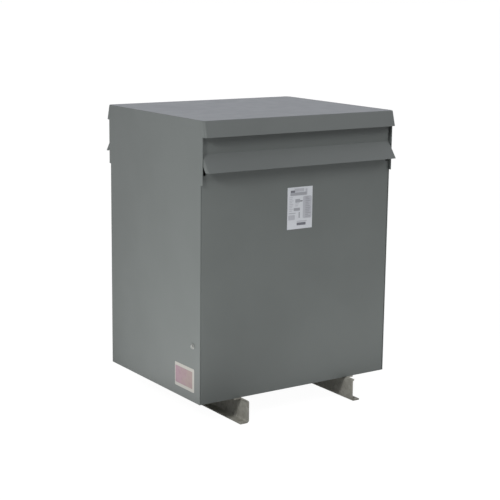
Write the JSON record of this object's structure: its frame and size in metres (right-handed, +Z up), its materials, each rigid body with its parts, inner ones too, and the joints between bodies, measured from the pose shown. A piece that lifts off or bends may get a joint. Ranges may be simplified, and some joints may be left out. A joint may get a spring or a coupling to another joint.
{
  "type": "ventilated dry-type power transformer",
  "caption": "Floor-standing dry-type power transformer: a sheet-metal housing with louvred vents under the roof, on two foot channels, with its core and windings inside.",
  "frame": {"origin": "on the floor, below the middle of the housing", "axes": "+X to the right seen from the front, +Y from the front to the back, +Z up"},
  "size_m": [0.634, 0.558, 0.829],
  "materials": {
    "housing_paint": "semi-gloss grey powder coat",
    "screen_steel": "galvanised, dull",
    "plate_aluminium": "matt, printed",
    "galvanised_steel": "galvanised, weathered",
    "core_steel": "laminated, varnished",
    "clamp_paint": "matt primer",
    "stud_steel": "zinc plated",
    "insulation_board": "varnished glass laminate",
    "winding_wrap": "paper-wrapped aluminium winding, varnished",
    "pad_rubber": "moulded"
  },
  "bodies": {
    "root": {"roof": "housing_paint", "left_side_panel": "housing_paint", "right_side_panel": "housing_paint", "front_cover": "housing_paint", "back_cover": "housing_paint", "front_louver_blade": "housing_paint", "back_louver_blade": "housing_paint", "base_pan": "housing_paint", "front_vent_screen": "screen_steel", "back_vent_screen": "screen_steel", "rating_plate": "plate_aluminium", "left_foot": "galvanised_steel", "right_foot": "galvanised_steel", "left_rail": "galvanised_steel", "right_rail": "galvanised_steel", "lower_yoke": "core_steel", "upper_yoke": "core_steel", "lower_front_clamp": "clamp_paint", "lower_back_clamp": "clamp_paint", "upper_front_clamp": "clamp_paint", "upper_back_clamp": "clamp_paint", "lower_clamp_studs": "stud_steel", "upper_clamp_studs": "stud_steel", "duct_sticks": "insulation_board", "lower_winding_blocks": "insulation_board", "upper_winding_blocks": "insulation_board", "left_leg": "core_steel", "left_inner_winding": "winding_wrap", "left_outer_winding": "winding_wrap", "middle_leg": "core_steel", "middle_inner_winding": "winding_wrap", "middle_outer_winding": "winding_wrap", "right_leg": "core_steel", "right_inner_winding": "winding_wrap", "right_outer_winding": "winding_wrap", "front_left_pad": "pad_rubber", "front_right_pad": "pad_rubber", "back_left_pad": "pad_rubber", "back_right_pad": "pad_rubber"}
  },
  "joints": []
}
